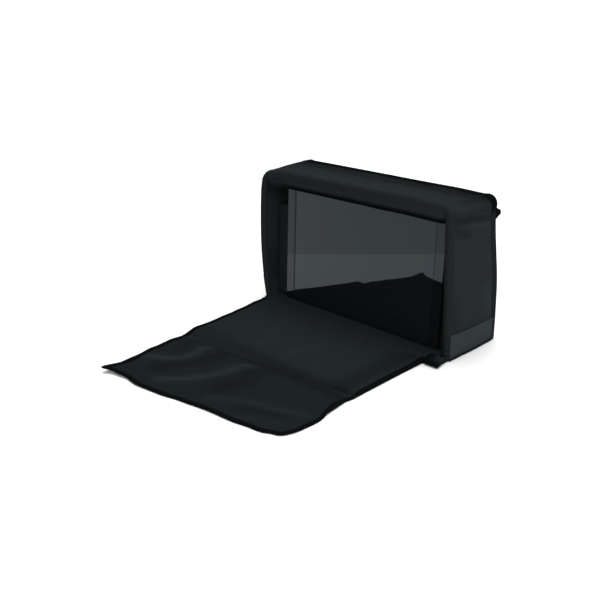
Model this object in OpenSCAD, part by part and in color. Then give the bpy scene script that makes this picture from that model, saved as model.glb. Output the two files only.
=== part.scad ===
// Padded box bag, open at the front, with a leaning glossy pane inside,
// a fold-down front flap that ends in a soft tongue, and a zipped rear panel.
// Millimetres. The origin is the centre of the base, on the floor.
// +X is right seen from the front, +Y is towards the rear, +Z is up.

/* [Case] */
// Width across the side covers
case_w = 470; // [420:1:520]
// Depth from the front edge of the base to the rear edge
case_d = 147; // [130:1:180]
// Height from the floor to the top cover
case_h = 280; // [250:1:310]
// Outer radius of the two top corners
corner_r = 22; // [20:0.5:30]
// How far below the corner curve the top is sewn to the sides
seam_drop = 4; // [2:0.5:12]
// Distance from the front edge of the base back to the front edges of the sides and the top
wall_setback = 13; // [4:1:18]
// Height of the coated band along the foot of each side
scuff_h = 48; // [30:1:80]
// Thickness of the coated band
scuff_t = 1; // [0.6:0.1:2]

/* [Layers] */
// Thickness of the outer fabric
cover_t = 1.2; // [0.8:0.1:2]
// Thickness of the foam in the sides and the top
wall_foam_t = 13; // [8:0.5:15]
// Thickness of the lining fabric
lining_t = 0.8; // [0.5:0.1:1.5]
// Thickness of the stiff board in the base
base_board_t = 2.4; // [1:0.1:4]
// Thickness of the foam in the base
base_foam_t = 5.6; // [3:0.1:10]

/* [Header] */
// Height of the closed band above the front opening, down from the top cover
header_h = 38; // [24:1:50]
// Thickness of the foam in the header
header_foam_t = 9; // [5:0.5:12]

/* [Edge binding] */
// Thickness of the tape across the cut edges of the padded walls
binding_t = 1.5; // [0.8:0.1:2.5]
// Thickness of the tape where it is folded over the covers
wrap_t = 0.8; // [0.4:0.1:1.5]
// Width of the fold of tape over the covers at the front
front_wrap_w = 8; // [5:0.5:14]
// Width of the fold of tape over the covers at the rear
rear_wrap_w = 13; // [8:0.5:18]

/* [Pane] */
// Distance from the front edge of the base back to the foot of the pane
pane_setback = 27; // [24:1:36]
// Angle at which the pane leans back
pane_lean = 4; // [0:0.5:6]
// Thickness of the pane
pane_t = 4; // [2:0.5:6]
// Width of the surround beside the pane
surround_side = 19; // [12:1:40]
// Width of the surround above the pane
surround_top = 25; // [12:1:40]
// Width of the surround below the pane
surround_foot = 2; // [1:0.5:20]
// Depth of the surround behind the pane
ledge_t = 4; // [2:0.5:8]
// Width of the ledge that the pane lies against
ledge_w = 8; // [4:0.5:12]
// Clearance between the pane and the surround
pane_gap = 0.2; // [0.1:0.05:0.5]
// Clearance between the surround and the lining of the top
surround_gap = 0.3; // [0.1:0.05:0.8]
// Space between the surround and the lining of the left side
left_space = 36; // [1:1:40]
// Space between the surround and the lining of the right side
right_space = 15; // [1:1:40]

/* [Pane blocks] */
// Width of the foam block behind each side of the surround
block_w = 46; // [42:1:70]
// Height of the foam blocks
block_h = 190; // [100:1:215]
// Depth of the blocks at the base
block_foot = 46; // [30:1:60]
// Depth of the blocks at the top
block_head = 26; // [15:1:40]
// Thickness of the hook patch that holds a block to the lining
patch_t = 1.5; // [1:0.1:3]
// Width and height of the hook patch
patch_size = 30; // [15:1:32]

/* [Rear panel] */
// Gap round the rear panel
rear_gap = 0.5; // [0.4:0.05:1]
// Thickness of the foam in the rear panel
rear_foam_t = 9; // [5:0.5:12]
// Radius of the two lower corners, where the zip turns
zip_corner_r = 12; // [6:0.5:20]
// Height of the hinge tape sewn on the rear panel
rear_leaf_h = 11; // [6:0.5:16]
// Distance from the inside of the walls in to the ends of the hinge tape
rear_leaf_inset = 27; // [15:1:60]

/* [Zip] */
// Width of each half of the zip tape
tape_w = 9; // [6:0.5:12]
// Thickness of the zip tape
tape_t = 0.7; // [0.4:0.1:1.2]
// Width of each row of teeth
teeth_w = 2.2; // [1.5:0.1:3]
// Thickness of the rows of teeth above the tape
teeth_t = 1.5; // [1:0.1:2.5]
// Gap between the two halves of the closed zip
zip_gap = 0.4; // [0.3:0.05:0.6]
// Distance from the inside of the top down to the zip's upper ends
zip_top_drop = 22; // [10:0.5:25]
// Length of the slider
slider_l = 12; // [9:0.5:16]
// Width of the slider
slider_w = 9; // [8:0.5:12]
// Thickness of the slider
slider_t = 2.2; // [1.5:0.1:3]
// Distance from the zip's upper end down to the middle of the slider
slider_drop = 16; // [10:0.5:30]
// Length of the pull
pull_l = 28; // [18:1:40]
// Width of the pull
pull_w = 5; // [4:0.5:5.5]
// Thickness of the pull
pull_t = 1.6; // [1.2:0.1:2.4]
// Radius of the slider's cross bar
bar_r = 0.8; // [0.5:0.05:1.1]
// Wall of the pull's eye round the cross bar
eye_wall = 1.1; // [0.8:0.05:1.6]
// Clearance of the pull's eye on the cross bar
eye_gap = 0.08; // [0.03:0.01:0.1]

/* [Zip end tabs] */
// Reach of the folded webbing tab behind the rear edge
tab_l = 16; // [12:1:24]
// Width of the webbing
tab_w = 14; // [10:1:20]
// Thickness of the folded webbing
tab_t = 3.4; // [2:0.2:4]
// Distance from the side's face in to the middle of the tab
tab_inset = 4.5; // [3:0.1:5]

/* [Flap] */
// Distance from the left face of the case in to the left edge of the flap
flap_inset_left = 34; // [4:1:40]
// Distance from the right face of the case in to the right edge of the flap
flap_inset_right = 26; // [4:1:40]
// Thickness of the stiff board in the flap
flap_board_t = 1.5; // [0.8:0.1:3]
// Thickness of the foam in the flap
flap_foam_t = 5.5; // [3:0.5:8]
// Length of the soft stretch between the padded part and the fold
riser_l = 62; // [30:1:80]
// Radius of the piping along the flap's hinge line
bead_r = 1.2; // [0.8:0.1:2]
// Gap between a hinge piping and the edge that it turns on
bead_gap = 0.3; // [0.2:0.05:0.5]
// Thickness of the sewn leaf of a hinge piping
leaf_t = 0.8; // [0.5:0.1:1.2]
// Width of the sewn leaf along the flap
flap_leaf_w = 12; // [6:1:20]

/* [Tongue] */
// Thickness of the soft tongue
tongue_t = 2.5; // [1.5:0.1:4]
// Distance that the closed tongue's left edge stops short of the rear edge
tongue_left_short = 0.6; // [0:0.1:20]
// Distance that the closed tongue's right edge stops short of the rear edge
tongue_right_short = 46.8; // [25:0.1:60]
// Radius of the tongue's left corner
left_corner_r = 18; // [6:1:40]
// Radius of the tongue's right corner
right_corner_r = 58; // [20:1:70]
// Width of the tape along the tongue's edges
edge_tape_w = 8; // [5:0.5:12]
// Thickness of the tape along the tongue's edges
edge_tape_t = 0.6; // [0.3:0.1:1]

/* [Closure] */
// Width of the hook strip along the tongue's free edge
hook_w = 20; // [12:1:25]
// Thickness of the hook strip
hook_t = 1.5; // [1:0.1:2.5]
// Width of the loop strip on the top
loop_w = 32; // [20:1:36]
// Thickness of the loop strip
loop_t = 1.5; // [1:0.1:2.5]
// Distance from the ends of the top in to the loop strip
loop_inset = 55; // [30:1:100]
// Gap between the strips when the flap is closed
close_gap = 0.3; // [0.2:0.05:1]

/* [Hidden] */
$fn = 96;

// Case
x_side = case_w / 2;
y_front = -case_d / 2;
y_rear = case_d / 2;
wall_t = cover_t + wall_foam_t + lining_t;
base_t = cover_t + base_board_t + base_foam_t + lining_t;
seam_z = case_h - corner_r - seam_drop;
x_inner = x_side - wall_t;
z_inner = case_h - wall_t;
base_y0 = y_front + binding_t;
wall_front = y_front + wall_setback;
wall_y0 = wall_front + binding_t;
wall_y1 = y_rear - binding_t;
least_r = 0.2;
past = 1;

// Header
header_z = case_h - header_h;

// Pane: the surround's lower rear edge stands on the base lining
surround_t = pane_t + pane_gap + ledge_t;
pane_y = y_front + pane_setback;
pane_z = base_t + surround_t * sin(pane_lean);
surround_x = x_inner - (left_space + right_space) / 2;
surround_mid = (left_space - right_space) / 2;
surround_r = max(corner_r - wall_t, least_r) + surround_gap;
surround_h = (z_inner - surround_gap - pane_z) / cos(pane_lean);
window_x = surround_x - surround_side;
window_w0 = surround_foot;
window_w1 = surround_h - surround_top;

// Rear panel and zip
rear_leaf_x = x_inner - rear_leaf_inset;
rear_axis_y = y_rear + bead_gap + bead_r;
rear_axis_z = z_inner;
zip_top = z_inner - zip_top_drop;
zip_mid = rear_gap / 2;
slider_x = zip_mid - x_inner;
teeth_y = y_rear + tape_t;
slider_y = teeth_y + teeth_t + bead_gap;
slider_z = zip_top - slider_drop;
eye_r = bar_r + eye_gap + eye_wall;
bar_y = slider_y + slider_t + bead_gap + eye_r;
post_t = 1.2;
post_x = pull_w / 2 + bead_gap;

// Flap and tongue: the flap turns about a line just above its inner face
flap_x0 = -x_side + flap_inset_left;
flap_x1 = x_side - flap_inset_right;
flap_t = cover_t + flap_board_t + flap_foam_t + lining_t;
flap_axis_y = base_y0 - bead_gap - bead_r;
flap_axis_z = flap_t + leaf_t + bead_r / 2;
flap_y0 = flap_axis_y - bead_gap;
bead_x0 = flap_x0 + past;
bead_x1 = flap_x1 - past;
fold_z = tongue_t + bead_gap;
fold_drop = fold_z - flap_axis_z;

// Closed, the flap leans back to the front edges of the sides
close_angle = 90 + atan((wall_setback - binding_t) / case_h);
closed_fold_z = case_h + loop_t + close_gap + tongue_t + hook_t - fold_z;
fold_s = (closed_fold_z - flap_axis_z - fold_drop * cos(close_angle)) / sin(close_angle);
fold_y = flap_axis_y - fold_s;
pad_y = fold_y + riser_l;

// Closed, the tongue reaches back over the top and the hook strip lands on the loop strip
closed_fold_y = flap_axis_y - fold_s * cos(close_angle) + fold_drop * sin(close_angle);
tongue_left = y_rear - closed_fold_y - tongue_left_short;
tongue_right = y_rear - closed_fold_y - tongue_right_short;
free_slope = atan((tongue_left - tongue_right) / (flap_x1 - flap_x0));
hook_inset = edge_tape_w + bead_gap;
hook_reach = (tongue_left + tongue_right) / 2 - hook_inset - hook_w / 2;
loop_y = closed_fold_y + hook_reach;

arc_steps = 12;

shell = [0.14, 0.15, 0.155];
inside = [0.10, 0.11, 0.115];
padding = [0.22, 0.22, 0.23];
board = [0.18, 0.18, 0.19];
tape = [0.08, 0.085, 0.09];
coated = [0.21, 0.23, 0.24];
plastic = [0.06, 0.06, 0.065];
glossy = [0.03, 0.035, 0.04];
metal = [0.12, 0.12, 0.125];

// A block between two corners
module slab(from, to) {
    translate(from) cube(to - from);
}

// A flat outline drawn in X and Z, given thickness from y0 to y1
module upright(y0, y1) {
    translate([0, y1, 0]) rotate([90, 0, 0]) linear_extrude(y1 - y0) children();
}

// A block shape with its own radius at the upper and at the lower corners
module rounded(x, z0, z1, top_r, foot_r) {
    translate([-x, z0 + foot_r]) square([2 * x, z1 - z0 - top_r - foot_r]);
    translate([-x + foot_r, z0]) square([2 * (x - foot_r), foot_r + least_r]);
    translate([-x + top_r, z1 - top_r - least_r]) square([2 * (x - top_r), top_r + least_r]);
    for (side = [-1, 1]) {
        translate([side * (x - top_r), z1 - top_r]) circle(top_r);
        translate([side * (x - foot_r), z0 + foot_r]) circle(foot_r);
    }
}

// The case seen from the front, drawn in from its outside by inset; it goes on below the floor
module case_outline(inset) {
    rounded(x_side - inset, -corner_r, case_h - inset, max(corner_r - inset, least_r), least_r);
}

// The rear opening, drawn in from its edge by inset
module rear_outline(inset) {
    rounded(x_inner - inset, base_t + inset, z_inner - inset,
            max(corner_r - wall_t - inset, least_r), max(zip_corner_r - inset, least_r));
}

// The strip between two heights, for cutting outlines
module heights(z0, z1) {
    translate([-case_w, z0]) square([2 * case_w, z1 - z0]);
}

// Layers of the base: between the sides, and in front of them as a lip of the full width
module base_layer(x, z, t) {
    slab([-x, wall_front, z], [x, wall_y1, z + t]);
    slab([-x_side, base_y0, z], [x_side, wall_front, z + t]);
}

module base_cover() color(shell) base_layer(x_side, 0, cover_t);
module base_board() color(board) base_layer(x_inner, cover_t, base_board_t);
module base_foam() color(padding) base_layer(x_inner, cover_t + base_board_t, base_foam_t);
module base_lining() color(inside) base_layer(x_inner, base_t - lining_t, lining_t);

// Layers of a side wall: depth is measured in from its outer face
module side_layer(side, depth, t) {
    x = side * (x_side - depth - t / 2);
    slab([x - t / 2, wall_y0, cover_t], [x + t / 2, wall_y1, seam_z]);
}

module left_side_cover() color(shell) side_layer(-1, 0, cover_t);
module left_side_foam() color(padding) side_layer(-1, cover_t, wall_foam_t);
module left_side_lining() color(inside) side_layer(-1, cover_t + wall_foam_t, lining_t);
module right_side_cover() color(shell) side_layer(1, 0, cover_t);
module right_side_foam() color(padding) side_layer(1, cover_t, wall_foam_t);
module right_side_lining() color(inside) side_layer(1, cover_t + wall_foam_t, lining_t);

// Layers of the top, which comes round both corners to the side seams
module top_layer(depth, t) {
    upright(wall_y0, wall_y1) intersection() {
        difference() {
            case_outline(depth);
            case_outline(depth + t);
        }
        heights(seam_z, case_h + past);
    }
}

module top_cover() color(shell) top_layer(0, cover_t);
module top_foam() color(padding) top_layer(cover_t, wall_foam_t);
module top_lining() color(inside) top_layer(cover_t + wall_foam_t, lining_t);

// Layers of the header, which hangs below the top: depth is measured in from its front face
module header_layer(depth, t) {
    upright(wall_y0 + depth, wall_y0 + depth + t)
        rounded(x_inner, header_z, z_inner, max(corner_r - wall_t, least_r), least_r);
}

module header_cover() color(shell) header_layer(0, cover_t);
module header_foam() color(padding) header_layer(cover_t, header_foam_t);
module header_lining() color(inside) header_layer(cover_t + header_foam_t, lining_t);

// Tape folded over the covers beside a bound edge
module tape_fold(y0, y1) {
    upright(y0, y1) intersection() {
        difference() {
            case_outline(-wrap_t);
            case_outline(0);
        }
        heights(0, case_h + wrap_t + past);
    }
}

module front_binding() color(tape) union() {
    upright(wall_front, wall_y0) intersection() {
        difference() {
            case_outline(0);
            case_outline(wall_t);
        }
        heights(cover_t, case_h + past);
    }
    tape_fold(wall_front, wall_front + front_wrap_w);
}

module rear_binding() color(tape) union() {
    upright(wall_y1, y_rear) difference() {
        intersection() {
            case_outline(0);
            heights(0, case_h + past);
        }
        rear_outline(0);
    }
    tape_fold(y_rear - rear_wrap_w, y_rear);
}

module scuff_band(side) {
    x = side * (x_side + scuff_t / 2);
    slab([x - scuff_t / 2, wall_front + front_wrap_w, 0], [x + scuff_t / 2, y_rear - rear_wrap_w, scuff_h]);
}

module left_scuff_band() color(coated) scuff_band(-1);
module right_scuff_band() color(coated) scuff_band(1);

module loop_strip() color(tape) {
    x = x_side - loop_inset;
    slab([-x, loop_y - loop_w / 2, case_h], [x, loop_y + loop_w / 2, case_h + loop_t]);
}

// Folded webbing tab at the upper end of the zip, standing out behind the rear edge
module zip_tab(side) {
    x = side * (x_side - tab_inset);
    r = tab_w / 2;
    straight = max(tab_l, tab_w) - r;
    translate([x - tab_t / 2, y_rear, zip_top]) rotate([90, 0, 90]) linear_extrude(tab_t) {
        translate([0, -r]) square([straight, tab_w]);
        translate([straight, 0]) circle(r);
    }
}

module left_zip_tab() color(tape) zip_tab(-1);
module right_zip_tab() color(tape) zip_tab(1);

// One half of the zip: a strip that follows the rear opening from one inset to another
module zip_strip(inset_from, inset_to, y, t) {
    upright(y, y + t) intersection() {
        difference() {
            rear_outline(inset_from);
            rear_outline(inset_to);
        }
        heights(0, zip_top);
    }
}

module case_zip_tape() color(tape) zip_strip(zip_mid - tape_w, zip_mid - zip_gap / 2, y_rear, tape_t);
module case_zip_teeth() color(plastic) zip_strip(zip_mid - teeth_w, zip_mid - zip_gap / 2, teeth_y, teeth_t);
module rear_zip_tape() color(tape) zip_strip(zip_mid + zip_gap / 2, zip_mid + tape_w, y_rear, tape_t);
module rear_zip_teeth() color(plastic) zip_strip(zip_mid + zip_gap / 2, zip_mid + teeth_w, teeth_y, teeth_t);

// The leaning frame, midway across the surround: Y is depth behind the pane's face, Z is along the pane from its foot
module leaning() {
    translate([surround_mid, pane_y, pane_z]) rotate([-pane_lean, 0, 0]) children();
}

module pane() color(glossy) leaning() {
    slab([-window_x + pane_gap, 0, window_w0 + pane_gap],
         [window_x - pane_gap, pane_t, window_w1 - pane_gap]);
}

module pane_surround() color(plastic) leaning() difference() {
    upright(0, surround_t) rounded(surround_x, 0, surround_h, surround_r, least_r);
    slab([-window_x, -past, window_w0], [window_x, pane_t + pane_gap, window_w1]);
    slab([-window_x + ledge_w, 0, window_w0 + ledge_w],
         [window_x - ledge_w, surround_t + past, window_w1 - ledge_w]);
}

// Foam block that backs one side of the surround and stands on the base
module pane_block(side) {
    y0 = pane_y + surround_t / cos(pane_lean) + (base_t - pane_z) * tan(pane_lean) + pane_gap;
    x = side * (x_inner - patch_t - block_w / 2);
    translate([x - block_w / 2, 0, base_t]) rotate([90, 0, 90]) linear_extrude(block_w) polygon([
        [y0, 0],
        [y0 + block_foot, 0],
        [y0 + block_h * tan(pane_lean) + block_head, block_h],
        [y0 + block_h * tan(pane_lean), block_h]
    ]);
}

module hook_patch(side) {
    x = side * (x_inner - patch_t / 2);
    y = pane_y + surround_t + block_foot / 2;
    z = base_t + block_h / 3;
    slab([x - patch_t / 2, y - patch_size / 2, z - patch_size / 2],
         [x + patch_t / 2, y + patch_size / 2, z + patch_size / 2]);
}

module left_pane_block() color(padding) pane_block(-1);
module right_pane_block() color(padding) pane_block(1);
module left_hook_patch() color(tape) hook_patch(-1);
module right_hook_patch() color(tape) hook_patch(1);

// Layers of the rear panel: depth is measured in from its outer face
module rear_layer(depth, t) {
    upright(y_rear - depth - t, y_rear - depth) rear_outline(rear_gap);
}

module rear_panel_cover() color(shell) rear_layer(0, cover_t);
module rear_panel_foam() color(padding) rear_layer(cover_t, rear_foam_t);
module rear_panel_lining() color(inside) rear_layer(cover_t + rear_foam_t, lining_t);

// Piping on the swing line of the rear panel, sewn on by a flat leaf
module rear_hinge_piping() color(tape) union() {
    translate([-rear_leaf_x, rear_axis_y, rear_axis_z]) rotate([0, 90, 0])
        cylinder(r = bead_r, h = 2 * rear_leaf_x);
    slab([-rear_leaf_x, y_rear, rear_axis_z - rear_leaf_h],
         [rear_leaf_x, y_rear + leaf_t, rear_axis_z - bead_gap]);
}

// Layers of the padded part of the flap
module flap_layer(z, t) {
    slab([flap_x0 + binding_t, pad_y, z], [flap_x1 - binding_t, flap_y0, z + t]);
}

module flap_cover() color(shell) flap_layer(0, cover_t);
module flap_board() color(board) flap_layer(cover_t, flap_board_t);
module flap_foam() color(padding) flap_layer(cover_t + flap_board_t, flap_foam_t);
module flap_lining() color(inside) flap_layer(flap_t - lining_t, lining_t);

// Piping on the swing line of the flap, sewn on by a flat leaf
module flap_hinge_piping() color(tape) union() {
    translate([bead_x0, flap_axis_y, flap_axis_z]) rotate([0, 90, 0])
        cylinder(r = bead_r, h = bead_x1 - bead_x0);
    slab([bead_x0, flap_axis_y - flap_leaf_w, flap_t], [bead_x1, flap_axis_y, flap_t + leaf_t]);
}

module flap_riser() color(inside) slab([flap_x0, fold_y + bead_gap, 0], [flap_x1, pad_y, tongue_t]);

// Tape on one edge of the flap: upright beside the padding, flat on the soft stretch
module flap_edge(x, towards) {
    x_pad = x + towards * binding_t;
    x_flat = x + towards * edge_tape_w;
    slab([min(x, x_pad), pad_y, 0], [max(x, x_pad), flap_y0, flap_t]);
    slab([min(x, x_flat), fold_y + bead_gap, tongue_t], [max(x, x_flat), pad_y, tongue_t + edge_tape_t]);
}

module flap_left_binding() color(tape) flap_edge(flap_x0, 1);
module flap_right_binding() color(tape) flap_edge(flap_x1, -1);

// The tongue's slanted free edge, drawn in by inset, at a place across the tongue
function free_edge(x, inset) =
    fold_y - tongue_left + (x - flap_x0) * tan(free_slope) + inset / cos(free_slope);

// A rounded corner of the tongue as an arc that touches the free edge
function corner_arc(x, r, inset, a0, a1) =
    let (y = free_edge(x, inset) + r / cos(free_slope))
    [for (i = [0 : arc_steps]) let (a = a0 + (a1 - a0) * i / arc_steps) [x + r * cos(a), y + r * sin(a)]];

// The tongue seen from above, drawn in from its free edges by inset and carried past the fold by over
module tongue_outline(inset, over = 0) {
    left_r = max(left_corner_r - inset, least_r);
    right_r = max(right_corner_r - inset, least_r);
    polygon(concat(
        [[flap_x1 - inset, fold_y - bead_gap + over], [flap_x0 + inset, fold_y - bead_gap + over]],
        corner_arc(flap_x0 + inset + left_r, left_r, inset, 180, 270 + free_slope),
        corner_arc(flap_x1 - inset - right_r, right_r, inset, 270 + free_slope, 360)
    ));
}

module tongue_sheet() color(inside) linear_extrude(tongue_t) tongue_outline(0);

module tongue_binding() color(tape) translate([0, 0, tongue_t]) linear_extrude(edge_tape_t) difference() {
    tongue_outline(0);
    tongue_outline(edge_tape_w, past);
}

// Hook strip along the free edge, between the two rounded corners
module hook_strip() color(tape) {
    x0 = flap_x0 + left_corner_r + hook_inset;
    x1 = flap_x1 - right_corner_r;
    translate([0, 0, tongue_t]) linear_extrude(hook_t) polygon([
        [x0, free_edge(x0, hook_inset)],
        [x1, free_edge(x1, hook_inset)],
        [x1, free_edge(x1, hook_inset + hook_w)],
        [x0, free_edge(x0, hook_inset + hook_w)]
    ]);
}

// Slider on the outside of the teeth, with a cross bar on two posts for the pull
module zip_slider() color(metal) translate([slider_x, 0, slider_z]) union() {
    slab([-slider_w / 2, slider_y, -slider_l / 2], [slider_w / 2, slider_y + slider_t, slider_l / 2]);
    for (side = [-1, 1]) {
        x = side * (post_x + post_t / 2);
        slab([x - post_t / 2, slider_y, -bar_r], [x + post_t / 2, bar_y, bar_r]);
        translate([x - post_t / 2, bar_y, 0]) rotate([0, 90, 0]) cylinder(r = bar_r, h = post_t);
    }
    translate([-post_x - post_t / 2, bar_y, 0]) rotate([0, 90, 0])
        cylinder(r = bar_r, h = 2 * post_x + post_t);
}

// Pull hanging from the cross bar
module zip_pull() color(metal) translate([slider_x, bar_y, slider_z]) difference() {
    union() {
        translate([-pull_w / 2, 0, 0]) rotate([0, 90, 0]) cylinder(r = eye_r, h = pull_w);
        slab([-pull_w / 2, -pull_t / 2, -pull_l], [pull_w / 2, pull_t / 2, 0]);
    }
    translate([-pull_w, 0, 0]) rotate([0, 90, 0]) cylinder(r = bar_r + eye_gap, h = 2 * pull_w);
}

base_cover();
base_board();
base_foam();
base_lining();
left_side_cover();
left_side_foam();
left_side_lining();
right_side_cover();
right_side_foam();
right_side_lining();
top_cover();
top_foam();
top_lining();
header_cover();
header_foam();
header_lining();
front_binding();
rear_binding();
left_scuff_band();
right_scuff_band();
loop_strip();
left_zip_tab();
right_zip_tab();
case_zip_tape();
case_zip_teeth();
pane();
pane_surround();
left_pane_block();
right_pane_block();
left_hook_patch();
right_hook_patch();
rear_panel_cover();
rear_panel_foam();
rear_panel_lining();
rear_hinge_piping();
rear_zip_tape();
rear_zip_teeth();
flap_cover();
flap_board();
flap_foam();
flap_lining();
flap_hinge_piping();
flap_riser();
flap_left_binding();
flap_right_binding();
tongue_sheet();
tongue_binding();
hook_strip();
zip_slider();
zip_pull();
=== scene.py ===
# Padded viewing bag: fabric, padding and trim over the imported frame
# Lengths are in millimetres until a mesh is made, and in metres for the camera and the floor
import math

import bmesh
import bpy
from mathutils import Matrix, Vector, noise


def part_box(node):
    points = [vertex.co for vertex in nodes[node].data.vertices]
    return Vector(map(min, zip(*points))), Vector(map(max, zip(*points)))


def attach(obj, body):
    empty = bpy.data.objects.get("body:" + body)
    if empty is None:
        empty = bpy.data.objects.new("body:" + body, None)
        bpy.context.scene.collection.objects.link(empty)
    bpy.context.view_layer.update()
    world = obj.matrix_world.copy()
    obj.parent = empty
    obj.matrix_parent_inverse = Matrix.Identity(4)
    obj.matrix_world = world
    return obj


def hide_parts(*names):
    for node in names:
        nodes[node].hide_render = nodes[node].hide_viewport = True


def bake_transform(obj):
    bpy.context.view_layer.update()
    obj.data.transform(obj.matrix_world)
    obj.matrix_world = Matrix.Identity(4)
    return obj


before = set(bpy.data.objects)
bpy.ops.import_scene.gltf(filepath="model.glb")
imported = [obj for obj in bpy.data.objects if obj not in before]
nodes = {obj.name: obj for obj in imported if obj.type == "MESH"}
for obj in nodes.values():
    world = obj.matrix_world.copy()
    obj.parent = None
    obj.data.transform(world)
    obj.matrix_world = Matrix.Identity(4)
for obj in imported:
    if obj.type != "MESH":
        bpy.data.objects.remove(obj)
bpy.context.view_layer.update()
scene = bpy.context.scene
MM = 0.001


def span(node, axis):
    """Lowest and highest place of a CAD node along one axis."""
    low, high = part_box(node)
    return low[axis] / MM, high[axis] / MM


# Sizes taken from the frame
X_SIDE = span("right_side_cover", 0)[1]
X_INNER = span("right_side_lining", 0)[0]
WALL_T = X_SIDE - X_INNER
WALL_Y0, WALL_Y1 = span("right_side_cover", 1)
SEAM_Z, CASE_H = span("top_cover", 2)
FRONT_Y, FRONT_FOLD_Y = span("front_binding", 1)
REAR_FOLD_Y, REAR_Y = span("rear_binding", 1)
BASE_Y0, BASE_Y1 = span("base_cover", 1)
BASE_T = span("base_lining", 2)[1]
COVER_T = span("base_cover", 2)[1]
SCUFF_H = span("right_scuff_band", 2)[1]
SCUFF_Y0, SCUFF_Y1 = span("right_scuff_band", 1)
HEADER_Z, HEADER_TOP = span("header_cover", 2)
HEADER_Y0 = span("header_cover", 1)[0]
HEADER_Y1 = span("header_lining", 1)[1]
LOOP_Y0, LOOP_Y1 = span("loop_strip", 1)
LOOP_X = span("loop_strip", 0)[1]
LOOP_T = span("loop_strip", 2)[1] - CASE_H
REAR_X = span("rear_panel_cover", 0)[1]
REAR_Z0, REAR_Z1 = span("rear_panel_cover", 2)
REAR_IN_Y = span("rear_panel_lining", 1)[0]
ZIP_TOP = span("case_zip_tape", 2)[1]
ZIP_IN_X = span("rear_zip_tape", 0)[1]
ZIP_TAPE_Y1 = span("case_zip_tape", 1)[1]
TEETH_Y1 = span("case_zip_teeth", 1)[1]
TAB_Z0, TAB_Z1 = span("right_zip_tab", 2)
TAB_Y1 = span("right_zip_tab", 1)[1]
REAR_LEAF_X = span("rear_hinge_piping", 0)[1]
REAR_LEAF_Z0, REAR_LEAF_Z1 = span("rear_hinge_piping", 2)
REAR_BEAD_Y = span("rear_hinge_piping", 1)[1]
FLAP_X0, FLAP_X1 = span("flap_riser", 0)
PAD_Y0, PAD_Y1 = span("flap_cover", 1)
FLAP_T = span("flap_lining", 2)[1]
LEAF_X0, LEAF_X1 = span("flap_hinge_piping", 0)
LEAF_Y0 = span("flap_hinge_piping", 1)[0]
FOLD_Y = (span("flap_riser", 1)[0] + span("tongue_sheet", 1)[1]) / 2
TONGUE_T = span("tongue_sheet", 2)[1]
TIP_Y = span("tongue_sheet", 1)[0]
HOOK_X0, HOOK_X1 = span("hook_strip", 0)
HOOK_Z1 = span("hook_strip", 2)[1]

# Sizes of the cloth: corner and edge radii, tapes, and the room between neighbours
CORNER_R = 22.0
NOSE = 7.4
TAPE = 0.8
GAP = 0.06
PANE_LEAN = math.radians(4.0)
ZIP_CORNER_R = 12.0
EDGE_TAPE_W = 6.5
LEFT_TAPE_W = 12.0

# Length of the case's outline seen from the front, from foot to foot
OUTLINE_L = 2 * (CASE_H - CORNER_R) + math.pi * CORNER_R + 2 * (X_SIDE - CORNER_R)

# How far the soft case slumps from its straight shape
LEFT_BOW = 11.0
RIGHT_SPREAD = 2.2
REAR_LEAN = 14.2
TOP_RISE = 2.2
TOP_FALL = 9.6
LEFT_DIP = 5.5
RIGHT_DIP = 2.0

# How far the padding swells, and how deep it is drawn in
WALL_PUFF = 2.6
TOP_SAG = 0.8
LONG_FOLDS = 2.4
FINE_FOLDS = 0.5
SEAM_DIP = 4.6
CREASE_DIP = 3.2
STITCH_DIP = 0.9
SQUARE_LEFT = 4.0
SQUARE_RIGHT = 4.6
LEFT_SLACK = 5.0

# Cloth simulation that fills the pads
FILL = {"use_pressure": True, "uniform_pressure_force": 4.0, "mass": 0.02, "tension_stiffness": 8.0,
        "compression_stiffness": 8.0, "bending_stiffness": 0.2}
FILL_LIMIT = 3.0
FILL_STEPS = 20
FILLED = []


def part_way(a, b, t):
    """How far t lies on the way from a to b, held between 0 and 1."""
    return max(0.0, min(1.0, (t - a) / (b - a)))


def ease(a, b, t):
    """Goes smoothly from 0 at a to 1 at b."""
    t = part_way(a, b, t)
    return t * t * (3 - 2 * t)


def hump(a, b, t):
    """Rises smoothly from 0 at a to 1 halfway, and back to 0 at b."""
    return math.sin(math.pi * part_way(a, b, t)) ** 2


def bell(t, wide):
    """Falls off smoothly from 1 at 0 over about wide to both sides."""
    return math.exp(-(t / wide) ** 2)


def trace(points, t):
    """Goes smoothly through a short list of places and values."""
    if t <= points[0][0]:
        return points[0][1]
    for (a, low), (b, high) in zip(points, points[1:]):
        if t <= b:
            return low + (high - low) * ease(a, b, t)
    return points[-1][1]


def ripple(x, y, z, size, seed):
    """Smooth noise from -1 to 1, the same at every run."""
    return noise.noise(Vector((x / size + seed, y / size + 1.7 * seed, z / size - seed)))


def rounding(r, near):
    """How far a rounded corner draws an edge in, at a distance from the corner's side."""
    return r - math.sqrt(max(0.0, r ** 2 - (r - near) ** 2)) if near < r else 0.0


def ramp(a, b, step):
    """Evenly spaced places from a to b, about step apart."""
    count = max(1, round(abs(b - a) / step))
    return [a + (b - a) * k / count for k in range(count + 1)]


def arc(ca, cb, r, start, end, steps=6):
    """Points along an arc, with angles in degrees."""
    turns = [math.radians(start + (end - start) * k / steps) for k in range(steps + 1)]
    return [(ca + r * math.cos(t), cb + r * math.sin(t)) for t in turns]


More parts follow.
